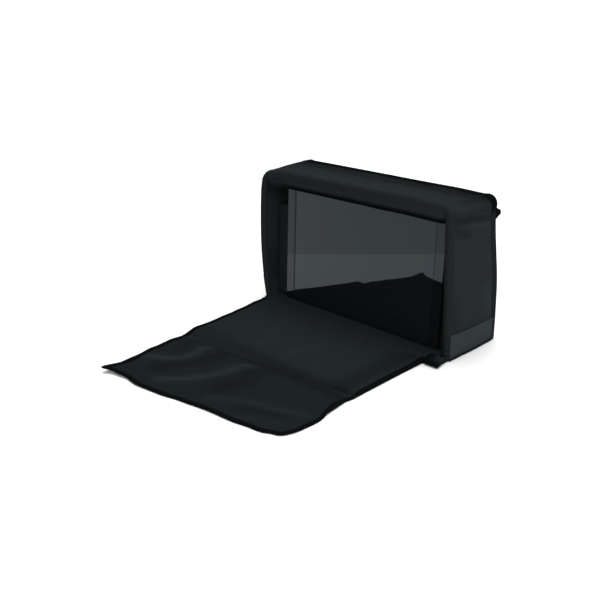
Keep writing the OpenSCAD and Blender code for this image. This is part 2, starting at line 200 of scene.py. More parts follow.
def from_line(points, x, y):
    """Distance of a place from a line of points, and how far along it, from 0 to 1."""
    best = (1e9, 0.0)
    for k, ((ax, ay), (bx, by)) in enumerate(zip(points, points[1:])):
        dx, dy = bx - ax, by - ay
        t = max(0.0, min(1.0, ((x - ax) * dx + (y - ay) * dy) / (dx * dx + dy * dy)))
        off = math.hypot(x - ax - t * dx, y - ay - t * dy)
        best = min(best, (off, (k + t) / (len(points) - 1)))
    return best


def spline(a, b, c, d, t):
    """The value at t on a smooth curve from b to c, with a before them and d after them."""
    bend = a - 2.5 * b + 2 * c - d / 2
    twist = 1.5 * b - a / 2 - 1.5 * c + d / 2
    return b + t * (c - a) / 2 + t * t * bend + t ** 3 * twist


def bent(points, steps=6):
    """A smooth curve through a few points, as a line of many points."""
    ends = [points[0]] + points + [points[-1]]
    line = []
    for four in zip(ends, ends[1:], ends[2:], ends[3:]):
        for k in range(steps):
            line.append(tuple(spline(*values, k / steps) for values in zip(*four)))
    return line + [points[-1]]


def stroked(strokes, u, v):
    """Tone of the cloth at a place: 1, changed near each stroke by its strength."""
    tone = 1.0
    for points, wide, strength in strokes:
        tone += strength * bell(from_line(points, u, v)[0], wide)
    return max(0.35, tone)


def settle(x, y, z):
    """Where a point of the straight case lies in the real, slightly slumped bag."""
    along = part_way(FRONT_Y, REAR_Y, y)
    bow = LEFT_BOW * math.sin(math.pi * (max(z, 0.0) / 272) ** 0.8)
    dx = -ease(-140, -X_SIDE, x) * (1 - 0.92 * ease(0, 1, along)) * max(-0.5, bow)
    dx += ease(150, X_SIDE, x) * RIGHT_SPREAD * ease(230, 0, z)
    back = 3.0 * ease(230, 20, z) + 2.0 * ease(248, 280, z)
    dy = ease(20, X_SIDE, x) * (1 - ease(0, 0.8, along)) * back
    lean = REAR_LEAN * ease(250, 90, z) - 3.4 - 1.5 * ease(50, 0, z)
    dy += ease(-150, 100, x) * ease(-20, 60, y) * lean
    lift = TOP_RISE - TOP_FALL * along ** 1.5
    lift -= LEFT_DIP * ease(-165, -230, x) * (1 - along) + RIGHT_DIP * ease(140, X_SIDE, x)
    return x + dx, y + dy, z + lift * ease(170, 266, z)


def outline_at(s):
    """A point of the case's outline seen from the front, s along it from the left foot, and its normal."""
    if s > OUTLINE_L / 2:
        x, z, nx, nz = outline_at(OUTLINE_L - s)
        return -x, z, -nx, nz
    up = CASE_H - CORNER_R
    turn = CORNER_R * math.pi / 2
    if s <= up:
        return -X_SIDE, s, -1.0, 0.0
    if s <= up + turn:
        angle = math.pi - (s - up) / CORNER_R
        nx, nz = math.cos(angle), math.sin(angle)
        return CORNER_R - X_SIDE + CORNER_R * nx, up + CORNER_R * nz, nx, nz
    return CORNER_R - X_SIDE + s - up - turn, CASE_H, 0.0, 1.0


def outline_s(side, z):
    """Place along the outline of a height on the left or right wall."""
    return z if side < 0 else OUTLINE_L - z


def swell(s, y):
    """How far the padded wall stands out of its flat shape."""
    x, z, nx = outline_at(s)[:3]
    side = abs(nx)
    body = side * WALL_PUFF * hump(-60, SEAM_Z + 6, z) ** 0.7 - (1 - side) * TOP_SAG
    folds = LONG_FOLDS * ripple(x, y * 1.2, z * 0.8, 62, 3.1) + FINE_FOLDS * ripple(x, y, z, 21, 8.3)
    seam = SEAM_DIP * side * bell(z - SEAM_Z + 10, 7)
    crease = CREASE_DIP * max(0.0, nx) * bell(z - 216 - 0.22 * (y + 50), 11) * ease(50, -20, y)
    stitch = STITCH_DIP * bell(y - FRONT_FOLD_Y - 5, 4)
    across = hump(WALL_Y0 - 6, WALL_Y1 + 6, y) ** 0.6
    return across * (body + folds - seam - crease) - stitch


def corner_push(s, nx, nz, y):
    """The top corners are squarer at the rear, and the left one is slack at the front."""
    along = part_way(FRONT_Y, REAR_Y, y)
    most = SQUARE_RIGHT if nx > 0 else SQUARE_LEFT
    square = most * ease(0.4, 1.0, along) * 2 * abs(nx) * nz
    from_corner = s - (CASE_H - CORNER_R + CORNER_R * math.pi / 4)
    return square - LEFT_SLACK * ease(0.6, 0.0, along) * bell(from_corner, 25)


def tuck(y, depth):
    """Draws the front edge of a wall in, so that it lies inside the round tape."""
    room = NOSE - TAPE
    dy = y - (FRONT_Y + NOSE)
    for middle, side in ((NOSE, -1), (WALL_T - NOSE, 1)):
        dd = depth - middle
        size = math.hypot(dy, dd)
        if dy < 0 and dd * side >= 0 and size > room:
            return FRONT_Y + NOSE + dy * room / size, middle + dd * room / size
    return max(y, FRONT_Y + TAPE), depth


def case_point(s, y, depth):
    """A point of the case wall: s along the outline, y front to back, depth in from the outer face."""
    x, z, nx, nz = outline_at(s)
    out = swell(s, y) * (1 - 1.3 * max(0.0, depth) / WALL_T) - depth + corner_push(s, nx, nz, y)
    return settle(x + nx * out, y, z + nz * out)


def wall_point(s, y, depth):
    """A point of a padded wall, tucked into the front tape."""
    return case_point(s, *tuck(y, depth))


def rounded_section(a0, a1, b0, b1, r, count_a, count_b, steps=4):
    """Points round a rectangle with rounded corners, anticlockwise."""
    r = max(0.02, min(r, (a1 - a0) / 2 - 0.01, (b1 - b0) / 2 - 0.01))
    middles = [(a1 - r, b0 + r), (a1 - r, b1 - r), (a0 + r, b1 - r), (a0 + r, b0 + r)]
    corners = [arc(*middle, r, 90 * k - 90, 90 * k, steps) for k, middle in enumerate(middles)]
    points = []
    for here, after, count in zip(corners, corners[1:] + corners[:1], (count_b, count_a) * 2):
        points += here
        for k in range(1, count):
            points.append(tuple(p + (q - p) * k / count for p, q in zip(here[-1], after[0])))
    return points


def normals(points):
    """Unit normals on the left of a line of points."""
    result = []
    for (a0, b0), (a1, b1) in zip(points[:1] + points[:-1], points[1:] + points[-1:]):
        size = math.hypot(a1 - a0, b1 - b0)
        result.append(((b0 - b1) / size, (a1 - a0) / size))
    return result


def band(profile, thick):
    """The closed section of a tape: a line given thickness to both sides."""
    places = list(zip(profile, normals(profile)))
    sides = []
    for half in (thick / 2, -thick / 2):
        sides.append([(a + na * half, b + nb * half) for (a, b), (na, nb) in places])
    return sides[0] + sides[1][::-1]


def put(name, data):
    """A new object in the scene."""
    obj = bpy.data.objects.new(name, data)
    scene.collection.objects.link(obj)
    return obj


def build(name, verts, faces, uvs, material, tones=None):
    """A mesh object with texture coordinates in metres, and a wear tone at each point."""
    mesh = bpy.data.meshes.new(name)
    mesh.from_pydata([Vector(v) * MM for v in verts], [], faces)
    layer = mesh.uv_layers.new(name="weave")
    layer.data.foreach_set("uv", [c * MM for face in uvs for uv in face for c in uv])
    wear = mesh.attributes.new("tone", "FLOAT", "POINT")
    wear.data.foreach_set("value", tones or [1.0] * len(verts))
    mesh.validate()
    turn_outward(mesh)
    mesh.polygons.foreach_set("use_smooth", [True] * len(mesh.polygons))
    mesh.set_sharp_from_angle(angle=math.radians(50))
    mesh.update()
    mesh.materials.append(material)
    return put(name, mesh)


def loft(name, rings, material, loop=False, tones=None):
    """A closed skin through rings of the same number of points."""
    n = len(rings[0])
    verts = [p for ring in rings for p in ring]
    middle = rings[len(rings) // 2]
    around = [0.0]
    for k in range(n):
        around.append(around[-1] + math.dist(middle[k], middle[(k + 1) % n]))
    along = [0.0]
    for one, two in zip(rings, rings[1:] + rings[:1]):
        steps = [math.dist(one[k], two[k]) for k in range(0, n, max(1, n // 6))]
        along.append(along[-1] + sum(steps) / len(steps))
    faces, uvs = [], []
    count = len(rings) if loop else len(rings) - 1
    for i in range(count):
        j = (i + 1) % len(rings)
        for k in range(n):
            m = (k + 1) % n
            faces.append((i * n + k, i * n + m, j * n + m, j * n + k))
            uvs.append([(around[k], along[i]), (around[k + 1], along[i]),
                        (around[k + 1], along[i + 1]), (around[k], along[i + 1])])
    if not loop:
        faces += [tuple(range(n - 1, -1, -1)), tuple(range(count * n, count * n + n))]
        uvs += [[(a, 0.0) for a in around[n - 1::-1]], [(a, along[count]) for a in around[:n]]]
    return build(name, verts, faces, uvs, material, tones)


def turn_outward(mesh):
    """Turns the faces of each closed skin outward."""
    made = bmesh.new()
    made.from_mesh(mesh)
    bmesh.ops.recalc_face_normals(made, faces=made.faces)
    made.to_mesh(mesh)
    made.free()


def stations(start, end, rounded, between):
    """Places along a block, and how far its section is drawn in at each: both ends are rounded."""
    first = [(start + along, inset) for along, inset in rounded]
    last = [(end - along, inset) for along, inset in reversed(rounded)]
    return first + [(s, 0.0) for s in between] + last


def pillow(name, s_span, a_span, b_span, place, material, r=0.3, end_r=0.3, step=5.0, trim=None, tone=None,
           slack=None):
    """A padded block with rounded edges: stations along s, a section in a and b, put in place by place."""
    s0, s1 = s_span
    count_a = max(1, round((a_span[1] - a_span[0] - 2 * r) / step))
    count_b = max(1, round((b_span[1] - b_span[0] - 2 * r) / step))
    rounded = arc(end_r, end_r, end_r, 180, 270, 4)
    between = ramp(s0 + end_r, s1 - end_r, step)[1:-1]
    rings, tones, free = [], [], []
    for s, inset in stations(s0, s1, rounded, between):
        cut = inset + (trim(s) if trim else 0.0)
        section = rounded_section(a_span[0] + cut, a_span[1] - cut, b_span[0] + inset, b_span[1] - inset,
                                  r, count_a, count_b)
        rings.append([place(s, a, b) for a, b in section])
        tones += [tone(s, a, b) if tone else 1.0 for a, b in section]
        free += [slack(s, a, b) if slack else 0.0 for a, b in section]
    obj = loft(name, rings, material, tones=tones)
    if slack:
        FILLED.append((obj, free))
    return obj


def fill_pads():
    """Presses the padding out in a short cloth simulation, with rims and inner faces held."""
    for obj, free in FILLED:
        held = obj.vertex_groups.new(name="held")
        for index, share in enumerate(free):
            held.add([index], 1.0 - share, "REPLACE")
        fill = obj.modifiers.new("fill", "CLOTH")
        fill.settings.vertex_group_mass = held.name
        fill.settings.effector_weights.gravity = 0.0
        for key, value in FILL.items():
            setattr(fill.settings, key, value)
        fill.collision_settings.use_collision = False
        fill.point_cache.frame_start = 1
        fill.point_cache.frame_end = FILL_STEPS
    for frame_number in range(1, FILL_STEPS + 1):
        scene.frame_set(frame_number)
    graph = bpy.context.evaluated_depsgraph_get()
    for obj, free in FILLED:
        filled = obj.evaluated_get(graph)
        moved = [v.co.copy() for v in filled.data.vertices]
        obj.modifiers.remove(obj.modifiers["fill"])
        obj.vertex_groups.clear()
        for v, goal, share in zip(obj.data.vertices, moved, free):
            step = goal - v.co
            room = FILL_LIMIT * MM * share
            if step.length > room:
                step *= room / step.length
            v.co += step
        obj.data.update()
    scene.frame_set(1)


# Materials
CLOTH_SHEEN = 0.003
CLOTH_SPREAD = 0.18
COOL_SHINE = (0.74, 0.91, 1.0, 1.0)


class Shader:
    """The nodes of a material, or of the world, in the making."""

    def __init__(self, owner, surface="Principled BSDF"):
        owner.use_nodes = True
        self.owner = owner
        self.tree = owner.node_tree
        self.surface = self.tree.nodes[surface]

    def give(self, socket, value):
        """Sets a socket to a value, or links it to another node's output."""
        if isinstance(value, bpy.types.NodeSocket):
            self.tree.links.new(value, socket)
        else:
            socket.default_value = value

    def node(self, kind, **values):
        """A new node with its settings and sockets."""
        made = self.tree.nodes.new("ShaderNode" + kind)
        for key, value in values.items():
            if key in made.inputs:
                self.give(made.inputs[key], value)
            else:
                setattr(made, key, value)
        return made

    def math(self, operation, *values):
        """A number worked out from others."""
        made = self.node("Math", operation=operation)
        for socket, value in zip(made.inputs, values):
            self.give(socket, value)
        return made.outputs[0]

    def tint(self, factor, color, spread):
        """A colour that goes from darker to paler with a factor."""
        low, high = ([c * (1 + sign * spread) for c in color] + [1.0] for sign in (-1, 1))
        return self.node("Mix", data_type="RGBA", Factor=factor, A=low, B=high).outputs["Result"]

    def finish(self, values):
        """Gives the surface its values and links."""
        for name, value in values.items():
            self.give(self.surface.inputs[name], value)
        return self.owner


def fabric(name, color, weave, rough, ribs=1.0, depth=0.25):
    """Woven cloth: threads from two crossed waves, slow changes of tone, and the wear of the piece."""
    made = Shader(bpy.data.materials.new(name))
    place = made.node("UVMap", uv_map="weave").outputs[0]
    parts = made.node("SeparateXYZ", Vector=place).outputs
    u, v = (made.math("SINE", made.math("MULTIPLY", part, 2 * math.pi / pitch))
            for part, pitch in zip(parts, (weave * MM, weave * MM * ribs)))
    threads = made.math("MULTIPLY", made.math("MULTIPLY", u, v), 0.5)
    slow = made.node("TexNoise", Vector=place, Scale=42.0, Detail=5.0, Roughness=0.6).outputs[0]
    fine = made.node("TexNoise", Vector=place, Scale=900.0, Detail=2.0, Roughness=0.5).outputs[0]
    both = made.math("ADD", made.math("MULTIPLY", slow, 0.75), made.math("MULTIPLY", fine, 0.25))
    wear = made.node("Attribute", attribute_name="tone").outputs["Fac"]
    tint = made.tint(both, color, CLOTH_SPREAD)
    worn = made.node("VectorMath", operation="SCALE", Vector=tint, Scale=wear)
    bump = made.node("Bump", Height=made.math("ADD", threads, fine), Distance=depth * MM, Strength=0.5)
    return made.finish({"Base Color": worn.outputs[0], "Normal": bump.outputs[0], "Roughness": rough,
                        "Specular IOR Level": 0.0, "Sheen Weight": CLOTH_SHEEN, "Sheen Roughness": 0.5})


def solid(name, color, rough, spread, scale, specular=0.5, grain=0.0):
    """Hard plastic, metal or foam: slow changes of tone and of polish."""
    made = Shader(bpy.data.materials.new(name))
    place = made.node("TexCoord").outputs["Object"]
    slow = made.node("TexNoise", Vector=place, Scale=scale, Detail=4.0, Roughness=0.55).outputs[0]
    polish = made.math("ADD", made.math("MULTIPLY", slow, rough * 0.4), rough * 0.8)
    if grain:
        pores = made.node("TexVoronoi", Vector=place, Scale=700.0).outputs["Distance"]
        bump = made.node("Bump", Height=pores, Distance=grain * MM, Strength=0.4)
        made.finish({"Normal": bump.outputs[0]})
    return made.finish({"Base Color": made.tint(slow, color, spread), "Roughness": polish,
                        "Specular IOR Level": specular, "Specular Tint": COOL_SHINE})


shell_mat = fabric("shell_cloth", (0.0171, 0.0208, 0.0219), 1.1, 0.8)
top_mat = fabric("top_cloth", (0.0136, 0.0168, 0.0179), 1.1, 0.8)
front_mat = fabric("front_tape", (0.0131, 0.0161, 0.0170), 1.0, 0.8, ribs=4.0)
header_mat = fabric("header_cloth", (0.0184, 0.0223, 0.0237), 0.9, 0.85)
lining_mat = fabric("lining_cloth", (0.0151, 0.0186, 0.0198), 0.7, 0.85)
flap_mat = fabric("flap_cloth", (0.0129, 0.0165, 0.0173), 0.9, 0.85)
tongue_mat = fabric("tongue_cloth", (0.0097, 0.0126, 0.0135), 0.8, 0.8)
tape_mat = fabric("ribbed_tape", (0.0096, 0.0122, 0.0132), 1.0, 0.75, ribs=6.0)
edge_mat = fabric("edge_tape", (0.0030, 0.0038, 0.0042), 1.0, 0.75, ribs=6.0)
scuff_mat = fabric("coated_cloth", (0.0292, 0.0360, 0.0390), 1.4, 0.6, depth=0.3)
loop_mat = fabric("loop_cloth", (0.0157, 0.0195, 0.0206), 0.5, 0.9, depth=0.5)
hook_mat = fabric("hook_cloth", (0.0094, 0.0122, 0.0130), 1.6, 0.8, depth=0.6)
zip_mat = fabric("zip_tape_cloth", (0.0084, 0.0106, 0.0113), 0.8, 0.8)
foam_mat = solid("closed_foam", (0.0074, 0.0083, 0.0091), 0.85, 0.2, 30.0, 0.10, 0.4)
pane_mat = solid("polished_pane", (0.0062, 0.0066, 0.0076), 0.022, 0.3, 6.0, 0.475)
surround_mat = solid("polished_surround", (0.0046, 0.0050, 0.0058), 0.028, 0.3, 9.0, 0.42)
bead_mat = solid("moulded_bead", (0.0046, 0.0050, 0.0058), 0.05, 0.3, 60.0, 0.16)
teeth_mat = solid("nylon_teeth", (0.012, 0.012, 0.013), 0.4, 0.2, 90.0)
metal_mat = solid("painted_metal", (0.018, 0.018, 0.019), 0.35, 0.2, 120.0, 0.6)


def keep(obj, body, slot_name, *replaced):
    """Puts a finished piece on its body, with its finish slot and the CAD nodes that it stands for."""
    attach(obj, body)
    if replaced:
        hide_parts(*replaced)
    return obj


def cross(obj, bodies, start, end, slot_name, *replaced):
    """Bends a piece of cloth across the joint of two bodies, with its slot and its CAD nodes."""
    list(bodies)
    Vector(start) * MM
    Vector(end) * MM
    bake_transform(obj)
    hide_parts(*replaced)
    return obj


def hinge_cloth(name, line, ends, place, material):
    """A strip of cloth along a hinge line, with a bent section that place puts at each x."""
    section = band(line, TAPE)
    return loft(name, [[place(x, a, b) for a, b in section] for x in ramp(*ends, 6.0)], material)


def layers(part):
    """The three CAD nodes of a padded part."""
    return [f"{part}_{layer}" for layer in ("cover", "foam", "lining")]


# Side walls, from the floor to the seam below each top corner
WALL_SECTION = ((WALL_Y0 + GAP, WALL_Y1 - GAP), (0.0, WALL_T))
WALL_EDGES = {"r": 3.0, "end_r": 0.5}

# Worn and shaded places of a side wall, as lines in depth and height with a width and a strength
WALL_TONES = [([(-56, 249), (57, 243)], 5.5, -0.40), ([(-52, 236), (-10, 221)], 9.0, -0.28),
              ([(-2, 233), (57, 231)], 5.0, 0.18), ([(-51, 100), (-40, 51)], 17.0, -0.18),
              ([(36, 105), (53, 60)], 15.0, 0.18), ([(-51, 47), (64, 44)], 4.0, -0.22)]


def wall_slack(y, depth):
    """How free the cloth of a wall is to move: its outer face, away from the tapes."""
    front = ease(FRONT_FOLD_Y + 3, FRONT_FOLD_Y + 20, y)
    return front * ease(REAR_FOLD_Y - 3, REAR_FOLD_Y - 20, y) * ease(3, 1, depth)


def wall(side, name):
    def place(z, y, depth):
        return wall_point(outline_s(side, z), y, depth)

    def tone(z, y, depth):
        return stroked(WALL_TONES, y, z) * (1 + 0.3 * ease(6, 9, depth))

    def slack(z, y, depth):
        ends = ease(SCUFF_H + 2, SCUFF_H + 22, z) * ease(SEAM_Z - 2, SEAM_Z - 18, z)
        return wall_slack(y, depth) * ends

    pad = pillow(name + "_wall_pad", (COVER_T + GAP, SEAM_Z - GAP), *WALL_SECTION, place, shell_mat,
                 **WALL_EDGES, tone=tone, slack=slack)
    keep(pad, "case", "shell_fabric", *layers(name + "_side"))


# Top, which comes round both corners to the side seams, with creases over the right corner
TOP_TONES = [([(-45, 12), (62, 14)], 4.5, 0.22), ([(-25, 25), (64, 26)], 6.0, -0.20)]


def top_shade(y):
    """The top is paler at its front ridge and darker towards the rear tape."""
    return 0.2 - 0.8 * ease(-40, 75, y)


def top_tone(s, y, depth):
    return stroked(TOP_TONES, y, OUTLINE_L - SEAM_Z - s) + outline_at(s)[3] * top_shade(y)


def top_slack(s, y, depth):
    """As free as a wall's cloth, and held at the loop tape and at both seams."""
    from_seam = min(s, OUTLINE_L - s) - SEAM_Z
    return wall_slack(y, depth) * ease(LOOP_Y0 - 2, LOOP_Y0 - 14, y) * ease(2, 18, from_seam)


top_pad = pillow("top_pad", (SEAM_Z + GAP, OUTLINE_L - SEAM_Z - GAP), *WALL_SECTION, wall_point, top_mat,
                 **WALL_EDGES, tone=top_tone, slack=top_slack)
keep(top_pad, "case", "shell_fabric", *layers("top"))

# Header: the padded band above the front opening
HEADER_R = 10.0
HEADER_END_BACK = 7.0


def header_place(x, y, z):
    """Rounded back along its foot, and drawn back at both ends."""
    front = 1 - (y - HEADER_Y0) / (HEADER_Y1 - HEADER_Y0)
    puff = 0.5 * hump(HEADER_Z - 8, HEADER_TOP, z) * (2 * front - 1)
    foot = 0.8 * ripple(x, 0, 0, 60, 5.2) * ease(HEADER_TOP, HEADER_Z, z)
    drop = max(0.0, HEADER_Z + HEADER_R - z) / HEADER_R
    back = HEADER_R * (1 - math.sqrt(max(0.0, 1 - drop * drop))) * front
    back += HEADER_END_BACK * ease(X_INNER - 14, X_INNER, abs(x)) * front
    return settle(x, y - puff + 0.9 * back, z + foot)


def header_tone(x, y, z):
    """Dark along its foot in front of the pane, and even at its left end."""
    left = ease(-140, -195, x)
    foot = 0.15 + 0.55 * left
    return (foot + (1 - foot) * ease(HEADER_Z + 6, HEADER_Z + 15, z)) * (1 - 0.22 * left)


header_pad = pillow("header_pad", (-X_INNER + 0.4, X_INNER - 0.4), (HEADER_Y0 - 0.2, HEADER_Y1),
                    (HEADER_Z, HEADER_TOP + 4.0), header_place, header_mat,
                    r=2.2, end_r=0.6, step=2.6, tone=header_tone)
keep(header_pad, "case", "shell_fabric", *layers("header"))

# Base: the cover on the floor, the padding between the walls and the lip in front of them
LIP_REACH = 20.0
LIP_FLARE = 7.0
LIP_PALE = 4.2


def base_place(x, y, z):
    dip = 0.25 * ripple(x, y, 0, 40, 2.4) - 0.3
    return x, y, z + dip * ease(COVER_T, BASE_T, z)


def lip_place(x, y, z):
    """The lip's right end reaches out in front, thinner and flared to the right."""
    x, y, z = base_place(x, y, z)
    reach = ease(FRONT_Y, BASE_Y0, y) * ease(198, 212, x)
    high = COVER_T + (z - COVER_T) * (1 - 0.3 * reach)
    return x + LIP_FLARE * reach * ease(222, X_SIDE, x), y - LIP_REACH * reach, high


def lip_tone(x, y, z):
    """Dark at its bound rim, and paler on top of its right end."""
    on_top = ease(BASE_Y0 + 3, BASE_Y0 + 8, y) * ease(BASE_T - 6, BASE_T - 2, z)
    return 1 + LIP_PALE * ease(210, 224, x) * on_top


base_sheet = pillow("base_sheet", (-X_SIDE, X_SIDE), (BASE_Y0, BASE_Y1), (0.0, COVER_T),
                    lambda x, y, z: (x, y, z), shell_mat, r=0.4, end_r=0.4, step=6.0)
keep(base_sheet, "case", "shell_fabric", "base_cover")
base_pad = pillow("base_pad", (-X_INNER + 0.5, X_INNER - 0.5), (FRONT_Y + 0.3, BASE_Y1), (COVER_T, BASE_T),
                  base_place, lining_mat, r=2.0, end_r=1.0, step=6.0)
keep(base_pad, "case", "lining_fabric", "base_board", "base_foam", "base_lining")
base_lip = pillow("base_lip", (-X_SIDE + 9, X_SIDE - 0.5), (BASE_Y0 + 0.2, FRONT_Y + 0.1),
                  (COVER_T, BASE_T - 0.4), lip_place, edge_mat, r=2.5, end_r=2.5, step=4.0, tone=lip_tone)
keep(base_lip, "case", "shell_fabric")

# Tapes round the front and rear edges of the walls
BEND = NOSE - TAPE / 2
REAR_BEND = 3.4
TAPE_STATIONS = ramp(COVER_T + 0.3, OUTLINE_L - COVER_T - 0.3, 5.0)


def front_line(flush):
    """The tape's path round a wall's front edge; flush is 1 where it runs down over the header."""
    line = [(FRONT_FOLD_Y + 2.5, -TAPE / 2)]
    line += arc(FRONT_Y + NOSE, NOSE, BEND, -90, -180, 10)
    inner = arc(FRONT_Y + NOSE, WALL_T - NOSE, BEND, -180, -270, 8)[1:]
    for k, (y, depth) in enumerate(inner):
        down = WALL_T - NOSE + (NOSE + 3) * (k + 1) / len(inner)
        line.append((y + (FRONT_Y + TAPE / 2 - y) * flush, depth + (down - depth) * flush))
    return line


def front_tape():
    """Slightly puckered, paler along the top and dark on the outer side of the left wall's edge."""
    rings, tones = [], []
    for s in TAPE_STATIONS:
        z, across, up = outline_at(s)[1:]
        pucker = 0.25 * math.sin(s / 1.9) * ripple(s, 0, 0, 30, 1.3)
        section = band(front_line(ease(0.75, 1.0, up)), TAPE)
        rings.append([case_point(s, y + pucker * ease(FRONT_FOLD_Y, FRONT_Y, y), d) for y, d in section])
        left = max(0.0, -across)
        dark = 0.68 + 0.27 * ease(220, 100, z)
        for y, d in section:
            tones.append(1 + up * (0.30 - 0.10 * ease(3, 8, d)) + left * (0.2 - dark * ease(11, 5, d)))
    keep(loft("front_edge_tape", rings, front_mat, tones=tones), "case", "binding_tape", "front_binding")


def rear_line(reach):
    """The tape's path round a wall's rear edge, reaching forward over the outer face."""
    line = [(REAR_FOLD_Y - reach, -TAPE / 2), (REAR_FOLD_Y, -TAPE / 2), (REAR_Y - 6, -TAPE / 2)]
    line += arc(REAR_Y - TAPE / 2 - REAR_BEND, REAR_BEND - TAPE / 2, REAR_BEND, -90, 0)
    return line + [(REAR_Y - TAPE / 2, 8.0), (REAR_Y - TAPE / 2, WALL_T - 0.4)]


def rear_tape():
    """Wider along the top, and worn paler on the outer face of both sides."""
    rings, tones = [], []
    for s in TAPE_STATIONS:
        across, up = outline_at(s)[2:]
        section = band(rear_line(3 + 9 * up), TAPE)
        ring = [case_point(s, y, d) for y, d in section]
        rings.append(ring)
        worn = 2.6 * abs(across)
        tones += [1 + worn * ease(250, 235, p[2]) * ease(4, 0.5, d) for (y, d), p in zip(section, ring)]
    keep(loft("rear_edge_tape", rings, edge_mat, tones=tones), "case", "binding_tape", "rear_binding")


front_tape()
rear_tape()
rear_foot = pillow("rear_foot_tape", (-X_INNER + 0.2, X_INNER - 0.2), (BASE_Y1 + 0.1, REAR_Y),
                   (0.1, BASE_T), settle, tape_mat, r=0.6, end_r=0.6)
keep(rear_foot, "case", "binding_tape")


# Coated bands along the foot of the sides, slightly lower at the rear and dark at the floor
def scuff(side, name):
    def place(z, y, depth):
        return case_point(outline_s(side, z * (1 - 0.06 * ease(SCUFF_Y0, SCUFF_Y1, y))), y, depth)

    def tone(z, y, depth):
        return 1 - 0.8 * ease(10, 3, z)

    patch = pillow(name + "_scuff_patch", (0.4, SCUFF_H), (SCUFF_Y0 - 4, SCUFF_Y1 + 1), (-1.2, -0.2),
                   place, scuff_mat, step=4.0, tone=tone)
    keep(patch, "case", "scuff_fabric", name + "_scuff_band")


# Loop tape on the top
loop_tape = pillow("loop_tape", (-LOOP_X, LOOP_X), (LOOP_Y0, LOOP_Y1), (0.05, 0.5 * LOOP_T),
                   lambda x, y, high: case_point(OUTLINE_L / 2 + x, y, -high), loop_mat,
                   tone=lambda x, y, high: 1 + top_shade(y))
keep(loop_tape, "case", "hook_and_loop", "loop_strip")

# Foam blocks behind the surround, and the hook patches that hold them
BLOCK_FOOT = 46.0
BLOCK_HEAD = 26.0
BLOCK_ROUNDING = [(0.0, 2.0), (0.6, 0.8), (2.0, 0.0)]


def block(side, name):
    node = name + "_pane_block"
    x0, x1 = span(node, 0)
    y0 = span(node, 1)[0]
    z0, z1 = span(node, 2)

    def place(z, x, t):
        depth = BLOCK_FOOT + (BLOCK_HEAD - BLOCK_FOOT) * ((z - z0) / (z1 - z0))
        start = y0 + (z - z0) * math.tan(PANE_LEAN)
        wave = 0.5 * ripple(x, t * 40, z, 30, 6.6 + side)
        return x, start + 0.6 + t * (depth - 1.2) + wave * t, z

    rings = []
    for z, inset in stations(z0, z1, BLOCK_ROUNDING, ramp(z0 + 8, z1 - 8, 8)):
        section = rounded_section(x0 + inset, x1 - inset, inset / 40, 1 - inset / 40, 0.04, 5, 5)
        rings.append([place(z, x, t) for x, t in section])
    keep(loft(node + "_foam", rings, foam_mat), "case", "foam", node)
    patch = name + "_hook_patch"
    strip = pillow(patch + "_cloth", span(patch, 2), span(patch, 1), span(patch, 0),
                   lambda z, y, x: (x, y, z), hook_mat, r=0.5, end_r=0.5, step=4.0)
    keep(strip, "case", "hook_and_loop", patch)


# Hard pieces that keep their CAD shape
def bevelled(node, material, width):
    """A hard CAD piece kept as it is, with eased edges and its finish."""
    obj = nodes[node]
    obj.data.materials.clear()
    obj.data.materials.append(material)
    eased = obj.modifiers.new("eased", "BEVEL")
    eased.width = width * MM
    eased.segments = 3
    eased.limit_method = "ANGLE"


bevelled("pane", pane_mat, 1.4)
bevelled("pane_surround", surround_mat, 1.4)
bevelled("zip_slider", metal_mat, 0.3)
bevelled("zip_pull", metal_mat, 0.3)

# Bead in the joint between the pane and its surround
BEAD_W = 1.0
BEAD_LEFT_W = 4.4
BEAD_SECTION = [(0.0, 0.02), (0.1, 0.2), (0.5, 0.22), (0.9, 0.2), (1.0, 0.02)]


def pane_bead():
    """A flat bead round the rim of the pane's front face, wider at its left end."""
    points = [v.co / MM for v in nodes["pane"].data.vertices]
    across = Vector((1, 0, 0))
    up = Vector((0, math.sin(PANE_LEAN), math.cos(PANE_LEAN)))
    out = Vector((0, -math.cos(PANE_LEAN), math.sin(PANE_LEAN)))
    x0, x1 = min(p.x for p in points), max(p.x for p in points)
    low, high = min(p.dot(up) for p in points), max(p.dot(up) for p in points)
    front = max(p.dot(out) for p in points)
    left, right = (x0, BEAD_LEFT_W), (x1, -BEAD_W)
    foot, head = (low, BEAD_W), (high, -BEAD_W)
    rings = []
    for (x, dx), (z, dz) in ((left, foot), (right, foot), (right, head), (left, head)):
        rings.append([across * (x + dx * a) + up * (z + dz * a) + out * (front + b)
                      for a, b in BEAD_SECTION])
    keep(loft("pane_bead", rings, bead_mat, loop=True), "case", "surround")


pane_bead()

# Zip: tapes along the rear opening, rows of teeth, and the folded webbing at both upper ends
TOOTH_PITCH = 2.6
ZIP_TAPE_W = 9.0
ZIP_SPLIT = 0.2


def zip_path(step):
    """Points along the zip's middle line from the upper left end round the foot, with outward normals."""
    x = ZIP_IN_X + ZIP_SPLIT
    z0 = BASE_T + X_INNER - x
    r = ZIP_CORNER_R - (X_INNER - x)
    left = [(-x, z, -1.0, 0.0) for z in ramp(ZIP_TOP, z0 + r, step)]
    for a, b in arc(-x + r, z0 + r, r, 180, 270)[1:-1]:
        left.append((a, b, (a + x - r) / r, (b - z0 - r) / r))
    foot = [(a, z0, 0.0, -1.0) for a in ramp(-x + r, x - r, step)]
    return left + foot + [(-a, b, -na, nb) for a, b, na, nb in reversed(left)]


